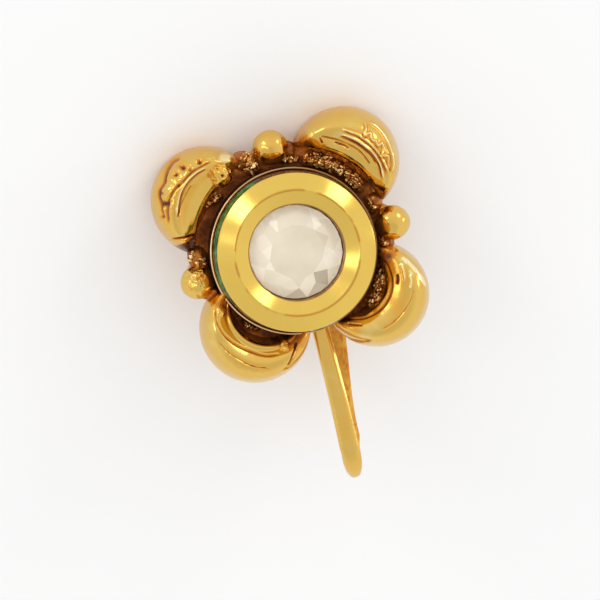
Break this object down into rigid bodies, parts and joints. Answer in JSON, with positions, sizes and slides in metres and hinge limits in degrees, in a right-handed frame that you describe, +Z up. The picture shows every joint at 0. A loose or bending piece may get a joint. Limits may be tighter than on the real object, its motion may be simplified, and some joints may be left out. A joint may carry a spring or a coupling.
{
  "type": "clip-on nose pin",
  "caption": "Clip-on nose pin: a cast flower of puffed petals and small balls round a bevelled gold collar with a faceted clear stone, on a flat hairpin clip.",
  "frame": {"origin": "on the surface that the pin rests on, under the middle of its box", "axes": "+Z up from the surface, +Y the way the clip points, +X across the pin; the flower faces up and to -Y"},
  "size_m": [0.011, 0.0156, 0.0064],
  "materials": {
    "cast_gold": "gold-plated, high polish, dark in the recesses",
    "collar_gold": "turned and polished, with green lacquer on its side",
    "foil": "bright foil",
    "stone": "polished clear glass"
  },
  "bodies": {
    "root": {"flower_and_clip": "cast_gold", "collar": "collar_gold", "foil": "foil", "stone": "stone"}
  },
  "joints": []
}
